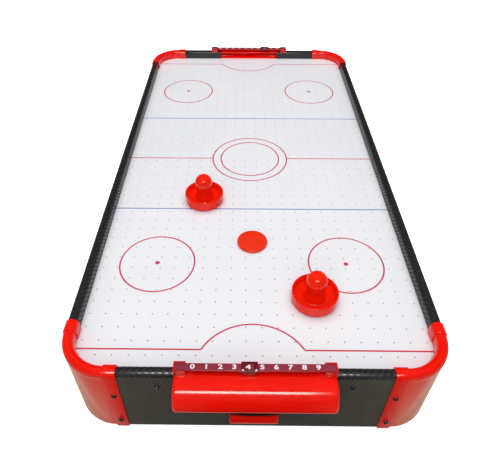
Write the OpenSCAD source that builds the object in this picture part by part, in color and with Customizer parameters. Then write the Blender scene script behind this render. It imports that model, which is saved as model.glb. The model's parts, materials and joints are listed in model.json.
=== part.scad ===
// Tabletop air hockey table: a shallow plenum box with a perforated playing surface, a bumper
// rail, moulded corners and goal boxes, sliding score markers, two mallets, a puck and a fan.
// +Z is up, +Y runs along the table, and the origin is on the floor under the table's centre.

/* [Table] */
// Length over the end panels
table_l = 1008; // [980:2:1040]
// Width over the side panels
table_w = 519; // [505:1:540]
// Height of the rubber feet
foot_h = 10; // [8:1:16]
// Height of the side and end panels
panel_h = 128; // [124:0.5:140]
// Thickness of the side and end panels
panel_t = 12; // [10:1:13]
// Width of the bumper rail
rail_w = 14.5; // [14:0.5:16]
// Height of the bumper rail above the playing surface
rail_h = 20; // [18:0.5:22]

/* [Corners] */
// Outer radius of the corner mouldings
corner_r = 65; // [60:1:70]
// Width of the collars and flaps of the corner mouldings
collar_w = 17.5; // [16:0.5:20]
// How far the collars and flaps stand proud
collar_t = 2.25; // [2:0.25:3.5]

/* [Playing surface] */
// Spacing of the air holes
hole_pitch = 22.6; // [22:0.1:23.2]
// Diameter of the air holes
hole_d = 1.6; // [1:0.1:2]
// Columns of air holes
hole_cols = 22; // [20:2:22]
// Rows of air holes
hole_rows = 42; // [38:2:42]
// Thickness of the perforated board
board_t = 4; // [3:0.5:5]

/* [Goals] */
// Width of the goal mouth
mouth_w = 158; // [140:2:160]
// Width of the goal hood
hood_w = 207; // [204:1:212]
// Depth of the flat top of the goal hood
hood_flat = 11.5; // [9:0.5:13]
// Width of the puck tray
tray_w = 66; // [60:1:70]
// How far the puck tray stands out from the end panel
tray_out = 13.5; // [11:0.5:16]
// Spacing of the ten score positions
score_pitch = 17.6; // [17:0.1:17.6]
// Score shown at the near end
near_score = 4; // [1:1:8]
// Score shown at the far end
far_score = 2; // [1:1:8]
// How far the near marker stands past its number
near_slack = 1.5; // [-3:0.5:3]

/* [Playing pieces] */
// Diameter of a mallet
mallet_d = 69; // [64:1:72]
// Height of a mallet
mallet_h = 56; // [54:1:60]
// Place of the left mallet
mallet_left_at = [-86.5, -135.5];
// Place of the right mallet
mallet_right_at = [90.5, -366];
// Diameter of the puck
puck_d = 50; // [48:1:51]
// Thickness of the puck
puck_t = 4.5; // [4:0.5:6]
// Place of the puck along the table
puck_y = -247.5; // [-400:0.5:400]

/* [Fan] */
// Side of the square fan frame
fan_w = 120; // [110:2:124]
// Depth of the fan frame
fan_h = 38; // [32:1:40]

/* [Hidden] */
$fn = 64;

e = 0.01;                          // overshoot of a cutter
seat = 0.1;                        // gap where one piece seats in another
xo = table_w / 2;                  // outer face of a side panel
yo = table_l / 2;                  // outer face of an end panel
xi = xo - rail_w;                  // inner face of a side rail
yi = yo - rail_w;                  // inner face of an end rail
base_z = foot_h;                   // underside of the cabinet
bottom_t = 5;                      // thickness of the bottom panel
floor_z = base_z + bottom_t;       // upper face of the bottom panel
dome_r = rail_w / 2;               // radius of the rail's rounded top
dome_v = rail_h - dome_r;          // height of the dome's centre over the playing surface
panel_v = dome_v - 0.25;           // height of a panel's top edge over the playing surface
field_z = base_z + panel_h - panel_v;   // the playing surface
base_v = base_z - field_z;         // underside of the cabinet, from the playing surface
lip_t = 2.5;                       // thickness of the rail's inner lip
skirt_t = 3;                       // wall of a corner moulding
stub = 1.5;                        // how far the elbow reaches into its collars
tab = 3;                           // how far the skirt reaches under its flaps
tongue = [3, 8];                   // width and depth of the rail's tongue
tongue_u = 7;                      // place of the tongue from the rail's inner face
flap_screw_v = [-31, -96];         // heights of the flap screws
cleat_w = 15;                      // side of the cleats under the playing surface
cleat_l = 800;                     // length of the cleats along the sides
foot_cleat_w = 12;                 // side of the cleats on the bottom panel
end_cleat_x = [104, 176];          // reach of the cleats on each side of a goal
side_screw_y = [-330, -110, 110, 330];
end_screw_x = 126.5;
cleat_screw_v = -8;
hood_screw = [92, -16];            // distance from the centre line, and height
hood_top = 18.5;                   // top of the hood over the playing surface
hood_r = [17, 38, 14];             // radii of the hood's front, from the top down
hood_turn = [90, 50, 22, -90];     // where one radius follows another, in degrees from level
hood_wall = 2.5;
lintel_t = 3;
sill_drop = 0.5;                   // how far the sill lies below the playing surface
ramp_h = 10;
function ray(angle) = [cos(angle), sin(angle)];
hood_c0 = [hood_flat, hood_top - hood_r[0]];
hood_c1 = hood_c0 + (hood_r[0] - hood_r[1]) * ray(hood_turn[1]);
hood_c = [hood_c0, hood_c1, hood_c1 + (hood_r[1] - hood_r[2]) * ray(hood_turn[2])];
hood_out = hood_c[2][0] + hood_r[2];      // how far the hood stands out from the end panel
hood_bottom = hood_c[2][1] - hood_r[2];
tray_bottom = -84;
tray_rim = -47;
tray_in = 36;                      // how far the tray reaches in behind the end panel's face
tray_wall = 2.5;
scoop_v = -59.5;                   // lowest point of the finger scoop
scoop_r = 45;
bar = [12, 4.5];                   // depth and thickness of the score bar
bar_u = 1.7;                       // inner edge of the score bar
bar_v = 22.5;                      // underside of the score bar
clip_x = [88, 103.5];
clip_v = [16.5, 28];
clip_u = [-0.5, 14.4];
marker_w = 21;
marker_gap = 0.3;
marker_wall = 1.5;
marker_reach = clip_x[0] - marker_w / 2 - marker_gap;   // furthest centre of a marker
window = [11, 8.5];
window_bevel = 1.2;
air_gap = 0.3;                     // height at which mallets and puck ride over the surface
fan_bore = 115;
fan_hub_r = 20;
fan_tip_r = 56;
fan_blades = 7;
shaft_r = 2;
bearing_r = 2.05;
motor_r = 15;
motor_h = 16;
seat_h = 3;
fan_pitch = 105;                   // spacing of the fan's corner screws
grille_t = 2;
inlet_at = [70, 60];               // place along the side panel and height
switch_at = [112, 60];
switch_body = [19, 12.7, 16];
bezel = [22, 15.5, 1.2];
rocker = [16, 9.6];
rocker_tilt = 8;
rocker_sink = -2;
trunnion_r = 1;
trunnion_l = 1;
rib_x = 120;
rib_t = 12;
rib_l = 860;
rib_hole_d = 60;
rib_hole_pitch = 150;
foot_d = 26;
bottom_screw_x = 120;              // screws along the ends of the bottom panel
foot_at = [[205, 440], [205, 0]];

// Points along an arc
function arc(cx, cy, r, a0, a1, n) =
    [for (k = [0 : n]) let (a = a0 + (a1 - a0) * k / n) [cx + r * cos(a), cy + r * sin(a)]];

// Signs of the four corners and the two ends
module mirror_x(on = true) { mirror([on ? 1 : 0, 0, 0]) children(); }
module mirror_y(on = true) { mirror([0, on ? 1 : 0, 0]) children(); }
module far() { rotate([0, 0, 180]) children(); }
module both_x() { for (s = [0, 1]) mirror_x(s == 1) children(); }
module both_y() { for (s = [0, 1]) mirror_y(s == 1) children(); }

// Sections are drawn as [distance outward from the rail's inner face, height over the
// playing surface]. The near end and the left side are the ones drawn.
module along_end(x0, x1) {
    translate([x0, -yi, field_z]) rotate([90, 0, 90])
        linear_extrude(x1 - x0) mirror([1, 0]) children();
}
module along_side(y0, y1) {
    translate([-xi, y1, field_z]) rotate([90, 0, 0])
        linear_extrude(y1 - y0) mirror([1, 0]) children();
}
module round_corner() {
    translate([-xo + corner_r, -yo + corner_r, field_z]) rotate([0, 0, 180])
        rotate_extrude(angle = 90) translate([corner_r - rail_w, 0]) children();
}
module span(u0, u1, v0, v1) { translate([u0, v0]) square([u1 - u0, v1 - v0]); }

// A rounded rectangle seen from above, with its corners inset from the outer faces
module outline(inset, r) {
    x = xo - inset;
    y = yo - inset;
    union() {
        square([2 * x, 2 * (y - r)], center = true);
        square([2 * (x - r), 2 * y], center = true);
        for (sx = [-1, 1], sy = [-1, 1]) translate([sx * (x - r), sy * (y - r)]) circle(r);
    }
}

// Board outline inside the panels and the corner mouldings
module inner_outline() {
    inset = panel_t + seat;
    intersection() {
        square([2 * (xo - inset), 2 * (yo - inset)], center = true);
        outline(skirt_t + seat, corner_r - skirt_t - seat);
    }
}

// Pan-head screw with its head's underside at the origin and its shank along -Z
module screw(len, d = 3, head_d = 7.4, head_h = 2.4) {
    slot = [0.9, head_d * 0.55, 1.2];
    difference() {
        rotate_extrude() polygon([[0, -len], [d / 2, -len + d / 2], [d / 2, 0], [head_d / 2, 0],
            [head_d / 2, head_h * 0.35], [head_d * 0.38, head_h * 0.8],
            [head_d * 0.2, head_h], [0, head_h]]);
        for (a = [0, 90]) rotate([0, 0, a])
            translate([-slot[0] / 2, -slot[1] / 2, head_h - slot[2]]) cube(slot);
    }
}

// Countersunk screw with its head's face at the origin and its shank along -Z
module flat_screw(len, d = 3, head_d = 6.4) {
    slot = [0.9, head_d * 0.55, 1];
    difference() {
        rotate_extrude() polygon([[0, -len], [d / 2, -len + d / 2], [d / 2, -1.7],
            [head_d / 2, 0], [0, 0]]);
        for (a = [0, 90]) rotate([0, 0, a])
            translate([-slot[0] / 2, -slot[1] / 2, -slot[2]]) cube(slot + [0, 0, e]);
    }
}
module flat_hole(len, d = 3, head_d = 6.4) {
    rotate_extrude() polygon([[0, -len], [d / 2, -len], [d / 2, -1.7], [head_d / 2, 0],
        [head_d / 2, e], [0, e]]);
}

// Playing surface: perforated board inside the panels
module playfield() {
    color("ghostwhite") translate([0, 0, field_z - board_t]) linear_extrude(board_t)
        difference() {
            inner_outline();
            for (i = [0 : hole_cols - 1], j = [0 : hole_rows - 1])
                translate([(i - (hole_cols - 1) / 2) * hole_pitch,
                           (j - (hole_rows - 1) / 2) * hole_pitch]) circle(d = hole_d);
        }
}

module bottom_panel() {
    color("dimgray") difference() {
        translate([0, 0, base_z]) linear_extrude(bottom_t) difference() {
            inner_outline();
            circle(d = fan_bore - 3);
            fan_screw_places() circle(d = 3.4);
        }
        bottom_screw_places() flat_hole(bottom_t + e);
    }
}

// Panels: carbon-look laminated boards with a groove for the rail's tongue along the top
module panel_section() {
    difference() {
        span(rail_w - panel_t, rail_w, base_v, panel_v);
        span(tongue_u - seat, tongue_u + tongue[0] + seat, panel_v - tongue[1] - seat,
            panel_v + e);
    }
}
module side_panel() {
    y = yo - corner_r - tab;
    difference() {
        along_side(-y, y) panel_section();
        for (sy = [-1, 1], v = flap_screw_v)
            side_hole(sy * (yo - corner_r - collar_w / 2), v);
        for (y = side_screw_y) side_hole(y, cleat_screw_v);
    }
}
module side_hole(y, v, d = 3) {
    translate([-xo - 5, y, field_z + v]) rotate([0, 90, 0]) cylinder(d = d, h = panel_t + 10);
}
module end_hole(x, v, d = 3) {
    translate([x, -yo - 5, field_z + v]) rotate([-90, 0, 0]) cylinder(d = d, h = panel_t + 10);
}
module side_panel_left() { color("darkslategray") side_panel(); }
module side_panel_right() {
    color("darkslategray") difference() {
        mirror_x() side_panel();
        translate([xo - panel_t - 5, inlet_at[0], inlet_at[1]]) rotate([0, 90, 0])
            cylinder(d = 12, h = panel_t + 10);
        translate([xo - panel_t / 2, switch_at[0], switch_at[1]])
            cube([panel_t + 10, switch_body[0], switch_body[1]], center = true);
    }
}
module end_panel() {
    x = xo - corner_r - tab;
    win = tray_w / 2 + seat;
    color("darkslategray") difference() {
        along_end(-x, x) panel_section();
        along_end(-mouth_w / 2, mouth_w / 2) span(0, rail_w + e, -board_t, panel_v + 1);
        along_end(-win, win) span(0, rail_w + e, tray_bottom - seat, hood_bottom - 1);
        both_x() {
            for (v = flap_screw_v) end_hole(xo - corner_r - collar_w / 2, v);
            end_hole(end_screw_x, cleat_screw_v);
            end_hole(hood_screw[0], hood_screw[1]);
        }
    }
}
module end_panel_near() { end_panel(); }
module end_panel_far() { far() end_panel(); }

// Bumper rail: a rounded cap with a lip down to the playing surface and a tongue in the panel
module rail_section() {
    union() {
        intersection() {
            translate([dome_r, dome_v]) circle(dome_r);
            span(0, rail_w, panel_v, rail_h);
        }
        span(0, lip_t, 0, dome_v);
        span(tongue_u, tongue_u + tongue[0], panel_v - tongue[1], dome_v);
    }
}
module side_rail() {
    y = yo - corner_r - stub - seat;
    color("black") along_side(-y, y) rail_section();
}
module end_rail() {
    color("black") along_end(-(xo - corner_r - stub - seat), -mouth_w / 2) rail_section();
}
module side_rail_left() { side_rail(); }
module side_rail_right() { mirror_x() side_rail(); }
module end_rail_near_left() { end_rail(); }
module end_rail_near_right() { mirror_x() end_rail(); }
module end_rail_far_left() { mirror_y() end_rail(); }
module end_rail_far_right() { far() end_rail(); }

// Corner moulding: a hollow elbow, a skirt below it, and a collar with a screwed flap on
// each of its two ends
module elbow_section() {
    proud = 0.75;
    difference() {
        union() {
            intersection() {
                translate([dome_r, dome_v]) circle(dome_r + proud);
                span(-proud, rail_w + proud, dome_v - 3, rail_h + proud);
            }
            span(-proud, lip_t, 0, dome_v);
            span(rail_w - skirt_t, rail_w, base_v, dome_v);
        }
        translate([dome_r, dome_v]) circle(dome_r - skirt_t);
        span(lip_t, rail_w - skirt_t, dome_v - 4, dome_v);
    }
}
module collar_section() {
    difference() {
        union() {
            intersection() {
                translate([dome_r, dome_v]) circle(dome_r + collar_t);
                span(-collar_t, rail_w + collar_t, dome_v, rail_h + collar_t);
            }
            span(-collar_t, rail_w + collar_t, base_v, dome_v);
        }
        translate([dome_r, dome_v]) circle(dome_r + seat);
        span(-seat, rail_w, base_v - e, dome_v);
        span(-collar_t - e, e, base_v - e, 0);
    }
}
module corner() {
    ye = -(yo - corner_r);
    xe = -(xo - corner_r);
    color("red") difference() {
        union() {
            round_corner() elbow_section();
            along_side(ye, ye + stub) elbow_section();
            along_end(xe, xe + stub) elbow_section();
            along_side(ye, ye + tab) span(rail_w - skirt_t, rail_w, base_v, panel_v);
            along_end(xe, xe + tab) span(rail_w - skirt_t, rail_w, base_v, panel_v);
            along_side(ye, ye + collar_w) collar_section();
            along_end(xe, xe + collar_w) collar_section();
        }
        for (v = flap_screw_v) {
            side_hole(ye + collar_w / 2, v, 3.4);
            end_hole(xe + collar_w / 2, v, 3.4);
        }
    }
}
module corner_near_left() { corner(); }
module corner_near_right() { mirror_x() corner(); }
module corner_far_left() { mirror_y() corner(); }
module corner_far_right() { far() corner(); }

// Goal hood: a rounded cover over the goal mouth with a lintel above it, a sill below it and
// ramps that lead the puck to the opening in its floor
module hood_section(inset) {
    polygon(concat([[0, hood_bottom + inset], [0, hood_top - inset]],
        [for (k = [0 : 2]) each arc(hood_c[k][0], hood_c[k][1], hood_r[k] - inset,
            hood_turn[k], hood_turn[k + 1], 10 + 6 * k)]));
}
module from_panel(x0, x1) { along_end(x0, x1) translate([rail_w, 0]) children(); }
module goal_hood() {
    w = hood_w / 2;
    gap = tray_w / 2;
    slot_out = 11;
    mouth = mouth_w / 2 - seat;
    color("red") difference() {
        union() {
            difference() {
                from_panel(-w, w) hood_section(0);
                from_panel(-w + hood_wall, w - hood_wall) hood_section(hood_wall);
            }
            from_panel(-mouth, mouth) {
                span(-rail_w, hood_wall, hood_top - lintel_t, hood_top);
                span(-panel_t, hood_wall, -board_t, -sill_drop);
            }
            intersection() {
                from_panel(-w + e, w - e) hood_section(hood_wall / 2);
                union() {
                    from_panel(-w, w) span(0, hood_wall, hood_bottom, -sill_drop);
                    both_x() goal_ramp(gap, w - hood_wall + e);
                    from_panel(-gap - e, gap + e) polygon([[slot_out, hood_bottom],
                        [hood_out, hood_bottom], [hood_out, hood_bottom + ramp_h],
                        [slot_out, hood_bottom + 3]]);
                }
            }
        }
        from_panel(-gap + 1, gap - 1) span(hood_wall, slot_out, hood_bottom - 1, hood_bottom + 4);
        both_x() end_hole(hood_screw[0], hood_screw[1]);
    }
}
module goal_ramp(x0, x1) {
    translate([0, -yo, field_z + hood_bottom]) rotate([90, 0, 0])
        linear_extrude(hood_out)
            polygon([[x0, 0], [x1, 0], [x1, ramp_h], [x0, 3]]);
}
module goal_hood_near() { goal_hood(); }
module goal_hood_far() { far() goal_hood(); }

// Puck tray: a pocket in the end panel below the hood, with a finger scoop in its rim
module puck_tray() {
    w = tray_w / 2;
    inner = w - tray_wall;
    top = hood_bottom - 1 - seat;
    lower_r = 5;
    face_r = 5;
    color("firebrick") difference() {
        union() {
            from_panel(-w, w) span(-tray_in, 0, tray_bottom, top);
            intersection() {
                from_panel(-w, w) polygon(concat([[-e, tray_bottom]],
                    arc(tray_out - face_r, tray_bottom + face_r, face_r, -90, 0, 8),
                    [[tray_out - 1.5, tray_rim], [-e, tray_rim]]));
                translate([0, -yo + 1, field_z]) rotate([90, 0, 0])
                    linear_extrude(tray_out + 2) union() {
                        span(-w, w, tray_bottom + lower_r, tray_rim);
                        span(-w + lower_r, w - lower_r, tray_bottom, tray_rim);
                        for (s = [-1, 1])
                            translate([s * (w - lower_r), tray_bottom + lower_r]) circle(lower_r);
                    }
            }
        }
        from_panel(-inner, inner) polygon([[-tray_in + tray_wall, tray_bottom + 8],
            [0, tray_bottom + tray_wall], [tray_out - face_r, tray_bottom + tray_wall],
            [tray_out - tray_wall - 1.5, tray_bottom + face_r],
            [tray_out - tray_wall - 1.5, tray_rim + e], [e, tray_rim + e], [e, top - tray_wall],
            [-12, top - tray_wall], [-tray_in + tray_wall, top - 20]]);
        translate([0, -yo + e, field_z + scoop_v + scoop_r]) rotate([90, 0, 0])
            cylinder(r = scoop_r, h = tray_out + 2);
    }
}
module puck_tray_near() { puck_tray(); }
module puck_tray_far() { far() puck_tray(); }

// Score bar, its two end clips and its sliding marker
module bar_section(grow = 0) {
    span(bar_u - grow, bar_u + bar[0] + grow, bar_v - grow, bar_v + bar[1] + grow);
}
module bar_clips() {
    both_x() difference() {
        along_end(clip_x[0], clip_x[1]) difference() {
            span(clip_u[0], clip_u[1], clip_v[0], clip_v[1]);
            translate([dome_r, dome_v]) circle(dome_r + seat / 2);
        }
        along_end(clip_x[0] - e, clip_x[1] - 2.5 + seat)
            span(bar_u, bar_u + bar[0], bar_v, clip_v[1] + e);
    }
}
module score_bar() {
    x = clip_x[1] - 2.5;
    along_end(-x, x) bar_section();
}
module bar_clips_near() { color("crimson") bar_clips(); }
module bar_clips_far() { color("crimson") far() bar_clips(); }
module score_bar_near() { color("maroon") score_bar(); }
module score_bar_far() { color("maroon") far() score_bar(); }
module score_marker(score, slack = 0) {
    top_v = bar_v + bar[1] + marker_gap;
    mid_u = bar_u + bar[0] / 2;
    x = max(-marker_reach, min(marker_reach, (score - 4.5) * score_pitch + slack));
    color("indianred") difference() {
        along_end(x - marker_w / 2, x + marker_w / 2) bar_section(marker_gap + marker_wall);
        along_end(x - marker_w, x + marker_w) bar_section(marker_gap);
        translate([x, -yi - mid_u, field_z + top_v - e])
            linear_extrude(marker_wall + 2 * e) square(window, center = true);
        for (s = [0, 1]) translate([x, -yi - mid_u, field_z + top_v])
            rotate([90, 0, 90 * s]) linear_extrude(window[1 - s], center = true)
                polygon([for (p = [[-1, 0], [1, 0], [1, 1], [-1, 1]])
                    [p[0] * (window[s] / 2 + p[1] * window_bevel), p[1] * (marker_wall + e)]]);
    }
}
module score_marker_near() { score_marker(near_score, near_slack); }
module score_marker_far() { far() score_marker(far_score); }

// Timber inside the box
module field_cleats() {
    v = -board_t - cleat_w;
    color("burlywood") {
        both_x() difference() {
            translate([-(xo - panel_t), -cleat_l / 2, field_z + v])
                cube([cleat_w, cleat_l, cleat_w]);
            for (y = side_screw_y) side_pilot(y, cleat_screw_v);
        }
        both_x() both_y() difference() {
            translate([end_cleat_x[0], -(yo - panel_t), field_z + v])
                cube([end_cleat_x[1] - end_cleat_x[0], cleat_w, cleat_w]);
            end_pilot(end_screw_x, cleat_screw_v);
        }
    }
}
module side_pilot(y, v) {
    translate([-xo - 5, y, field_z + v]) rotate([0, 90, 0]) cylinder(d = 3, h = panel_t + 15.5);
}
module end_pilot(x, v) {
    translate([x, -yo - 5, field_z + v]) rotate([-90, 0, 0]) cylinder(d = 3, h = panel_t + 15.5);
}
module bottom_screw_places() {
    for (sx = [-1, 1], y = side_screw_y)
        translate([sx * (xo - panel_t - foot_cleat_w / 2), y, base_z]) rotate([180, 0, 0])
            children();
    for (sx = [-1, 1], sy = [-1, 1])
        translate([sx * bottom_screw_x, sy * (yo - panel_t - foot_cleat_w / 2), base_z])
            rotate([180, 0, 0]) children();
}
module bottom_cleats() {
    color("burlywood") difference() {
        union() {
            both_x() translate([-(xo - panel_t), -cleat_l / 2, floor_z])
                cube([foot_cleat_w, cleat_l, foot_cleat_w]);
            both_y() translate([-end_cleat_x[1], -(yo - panel_t), floor_z])
                cube([2 * end_cleat_x[1], foot_cleat_w, foot_cleat_w]);
        }
        bottom_screw_places() mirror([0, 0, 1]) cylinder(d = 3, h = bottom_t + 9.5);
    }
}
module field_ribs() {
    h = field_z - board_t - floor_z;
    color("tan") both_x() difference() {
        translate([rib_x - rib_t / 2, -rib_l / 2, floor_z]) cube([rib_t, rib_l, h]);
        for (k = [-2.5 : 2.5]) translate([rib_x - rib_t, k * rib_hole_pitch, floor_z + h / 2])
            rotate([0, 90, 0]) cylinder(d = rib_hole_d, h = 2 * rib_t);
    }
}

// Fan: a square frame with struts that carry the motor, and an axial wheel on a steel shaft
module fan_frame_outline() {
    r = 8;
    a = fan_w - 2 * r;
    union() {
        square([fan_w, a], center = true);
        square([a, fan_w], center = true);
        for (sx = [-1, 1], sy = [-1, 1]) translate([sx, sy] * a / 2) circle(r);
    }
}
module fan_screw_places() {
    for (sx = [-1, 1], sy = [-1, 1]) translate([sx, sy] * fan_pitch / 2) children();
}
module fan_housing() {
    color("dimgray") translate([0, 0, floor_z]) {
        linear_extrude(seat_h) difference() {
            union() {
                fan_ring_outline();
                circle(motor_r + 5);
                for (a = [45, 135]) rotate(a) square([fan_bore + 2, 6], center = true);
            }
            circle(bearing_r + 1);
            fan_screw_places() circle(d = 3.4);
        }
        translate([0, 0, seat_h]) linear_extrude(fan_h - seat_h) difference() {
            fan_ring_outline();
            fan_screw_places() circle(d = 3.4);
        }
    }
}
module fan_ring_outline() {
    difference() {
        fan_frame_outline();
        circle(d = fan_bore);
    }
}
module fan_motor() {
    color("silver") translate([0, 0, floor_z + seat_h]) difference() {
        cylinder(r = motor_r, h = motor_h);
        translate([0, 0, -e]) cylinder(r = bearing_r, h = motor_h + 2 * e);
    }
}
module fan_shaft() {
    color("lightgray") translate([0, 0, floor_z + seat_h + 1])
        cylinder(r = shaft_r, h = motor_h + 5.4);
}
module fan_impeller() {
    hub_z = floor_z + seat_h + 1.5;
    hub_h = 25;
    color("black") difference() {
        union() {
            translate([0, 0, hub_z]) cylinder(r = fan_hub_r, h = hub_h);
            intersection() {
                for (k = [0 : fan_blades - 1]) rotate([0, 0, k * 360 / fan_blades])
                    translate([(fan_hub_r + fan_tip_r) / 2, 0, hub_z + hub_h / 2])
                        rotate([38, 0, 0])
                            cube([fan_tip_r - fan_hub_r + 8, 34, 1.6], center = true);
                translate([0, 0, hub_z]) difference() {
                    cylinder(r = fan_tip_r, h = hub_h);
                    translate([0, 0, -e]) cylinder(r = fan_hub_r - 1, h = hub_h + 2 * e);
                }
            }
        }
        translate([0, 0, hub_z - e])
            cylinder(r = motor_r + 1.5, h = motor_h - 0.5 + e);
        translate([0, 0, hub_z + motor_h - 2]) cylinder(r = shaft_r, h = 7.5 - 0.5 + e);
    }
}
module fan_grille() {
    ring_w = 2;
    color("black") translate([0, 0, base_z - grille_t]) {
        linear_extrude(grille_t) union() {
            difference() {
                fan_frame_outline();
                circle(d = fan_bore - 5);
                fan_screw_places() circle(d = 3.4);
            }
            for (r = [14 : 10 : 44]) difference() {
                circle(r + ring_w);
                circle(r);
            }
            difference() {
                for (a = [0, 90]) rotate([0, 0, a]) square([fan_bore - 4, 3], center = true);
                circle(10);
            }
            circle(10.5);
        }
    }
}
module fan_screws() {
    color("gray") translate([0, 0, base_z - grille_t]) fan_screw_places()
        rotate([180, 0, 0]) screw(grille_t + bottom_t + 14, 3.4, 6.6, 2);
}

// Power: a round inlet and a rocker switch in the right side panel, and their wiring
module on_right(at) {
    translate([xo, at[0], at[1]]) rotate([0, 90, 0]) rotate([0, 0, 90]) children();
}
module power_inlet() {
    color("black") on_right(inlet_at) difference() {
        union() {
            translate([0, 0, -16]) cylinder(d = 12, h = 16);
            cylinder(d = 17, h = 1.6);
        }
        translate([0, 0, -11]) cylinder(d = 5.6, h = 13);
    }
}
module inlet_pin() {
    color("silver") on_right(inlet_at) translate([0, 0, -11]) cylinder(d = 2, h = 10.5);
}
module switch_housing() {
    cavity = [rocker[0] + 0.8, rocker[1] + 0.8];
    color("black") on_right(switch_at) difference() {
        union() {
            translate([0, 0, -switch_body[2] / 2])
                cube([switch_body[0], switch_body[1], switch_body[2]], center = true);
            translate([0, 0, bezel[2] / 2]) cube(bezel, center = true);
        }
        translate([0, 0, -5]) cube([cavity[0], cavity[1], 14], center = true);
        translate([0, 0, rocker_sink]) rotate([90, 0, 0])
            cylinder(r = trunnion_r + 0.05, h = rocker[1] + 2 * trunnion_l + 0.3, center = true);
    }
}
module switch_rocker() {
    x = rocker[0] / 2 - 0.4;
    color("red") on_right(switch_at) translate([0, 0, rocker_sink]) rotate([0, -rocker_tilt, 0])
        rotate([90, 0, 0]) union() {
            linear_extrude(rocker[1], center = true)
                polygon([[-x, -1], [-3, -5.5], [3, -5.5], [x, -1], [x, 3.3], [0, 2.7], [-x, 3.3]]);
            cylinder(r = trunnion_r, h = rocker[1] + 2 * trunnion_l, center = true);
        }
}
module wire_harness() {
    in = xo - 16;
    inlet_wire = [[in, inlet_at[0], inlet_at[1]], [in - 6, inlet_at[0], inlet_at[1]],
        [in - 11, inlet_at[0] + 5, inlet_at[1]], [in - 12, inlet_at[0] + 14, inlet_at[1]],
        [in - 12, switch_at[0] - 14, inlet_at[1]], [in - 11, switch_at[0] - 7, inlet_at[1]],
        [in - 6, switch_at[0] - 4, inlet_at[1]], [in, switch_at[0] - 4, inlet_at[1]]];
    fan_wire = [[in, switch_at[0] + 4, switch_at[1]], [in - 9, switch_at[0] + 4, 60],
        [in - 17, switch_at[0] + 1, 57], [220, 106, 50], [190, 94, 41], [155, 82, 42],
        [120, 74, 48], [100, 64, 46], [86, 50, 38], [76, 38, 30], [68, 31, 28],
        [fan_w / 2, 30, 28]];
    color("black") {
        tube(inlet_wire, 1.6);
        tube(fan_wire, 1.6);
    }
}

// A round wire swept along a row of points, as one closed skin
module tube(path, r, sides = 8) {
    n = len(path);
    rings = [for (i = [0 : n - 1])
        let (d = path[min(i + 1, n - 1)] - path[max(i - 1, 0)],
             f = d / norm(d),
             side = cross(f, [0, 0, 1]),
             u = side / norm(side),
             w = cross(u, f))
        for (k = [0 : sides - 1])
            path[i] + r * (cos(k * 360 / sides) * u + sin(k * 360 / sides) * w)];
    walls = [for (i = [0 : n - 2], k = [0 : sides - 1])
        let (k2 = (k + 1) % sides)
        [i * sides + k, i * sides + k2, (i + 1) * sides + k2, (i + 1) * sides + k]];
    ends = [[for (k = [sides - 1 : -1 : 0]) k], [for (k = [0 : sides - 1]) (n - 1) * sides + k]];
    polyhedron(rings, concat(walls, ends));
}

module rubber_feet() {
    color("dimgray") for (at = foot_at, sx = [-1, 1], sy = at[1] == 0 ? [1] : [-1, 1])
        translate([sx * at[0], sy * at[1], 0]) rotate_extrude()
            polygon([[0, 0], [foot_d / 2 - 2.5, 0], [foot_d / 2 - 1, 1.5],
                [foot_d / 2, foot_h], [0, foot_h]]);
}

// Screws
module end_screw(x, v, len, proud = 0) {
    translate([x, -yo - proud, field_z + v]) rotate([90, 0, 0]) screw(len);
}
module side_screw(y, v, len, proud = 0) {
    translate([-xo - proud, y, field_z + v]) rotate([0, -90, 0]) screw(len);
}
module corner_screws() {
    color("black") both_x() both_y() for (v = flap_screw_v) {
        end_screw(-(xo - corner_r - collar_w / 2), v, collar_t + 11, collar_t);
        side_screw(-(yo - corner_r - collar_w / 2), v, collar_t + 11, collar_t);
    }
}
module end_panel_screws() {
    color("black") both_x() both_y() end_screw(end_screw_x, cleat_screw_v, panel_t + 10);
}
module side_panel_screws() {
    color("black") both_x() for (y = side_screw_y) side_screw(y, cleat_screw_v, panel_t + 10);
}
module bottom_screws() {
    color("gray") bottom_screw_places() flat_screw(bottom_t + 9);
}
module hood_screws() {
    color("gray") both_x() both_y()
        translate([hood_screw[0], -yo + panel_t, field_z + hood_screw[1]])
            rotate([-90, 0, 0]) screw(panel_t + 5);
}

// Mallet: a dish with a rim, a flared neck and a domed knob, on a felt pad
module at_field(at) { translate([at[0], at[1], field_z + air_gap]) children(); }
module mallet_body(at) {
    r = mallet_d / 2;
    felt = 1.2;
    rim_h = 19;
    lip = 1.3;
    knob_r = 15.4;
    knob_z = mallet_h - air_gap - knob_r;
    color("red") at_field(at) rotate_extrude() polygon(concat(
        [[0, felt], [r - 1.2, felt], [r, felt + 1.2]],
        arc(r - lip, rim_h - lip, lip, 0, 180, 8),
        arc(r - 2 * lip - 3, 9, 3, 0, -90, 5),
        arc(19, 9, 3, -90, -170, 5),
        arc(35, 22, 21.4, 205, 180, 5),
        [[14.6, 27.4]],
        arc(0, knob_z, knob_r, -16, 90, 14)));
}
module mallet_felt(at) {
    color("white") at_field(at) difference() {
        cylinder(r = mallet_d / 2 - 3, h = 1.2);
        translate([0, 0, -e]) cylinder(r = 14, h = 1.2 + 2 * e);
    }
}
module mallet_left() { mallet_body(mallet_left_at); }
module mallet_left_felt() { mallet_felt(mallet_left_at); }
module mallet_right() { mallet_body(mallet_right_at); }
module mallet_right_felt() { mallet_felt(mallet_right_at); }

module puck() {
    r = puck_d / 2;
    color("orangered") at_field([0, puck_y]) difference() {
        rotate_extrude() polygon(concat([[0, 0]], arc(r - 1, 1, 1, -90, 0, 4),
            arc(r - 1, puck_t - 1, 1, 0, 90, 4), [[0, puck_t]]));
        for (k = [6, 12]) translate([0, 0, puck_t - 0.3]) difference() {
            cylinder(r = k + 0.5, h = 1);
            translate([0, 0, -e]) cylinder(r = k - 0.5, h = 1 + 2 * e);
        }
    }
}

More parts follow.
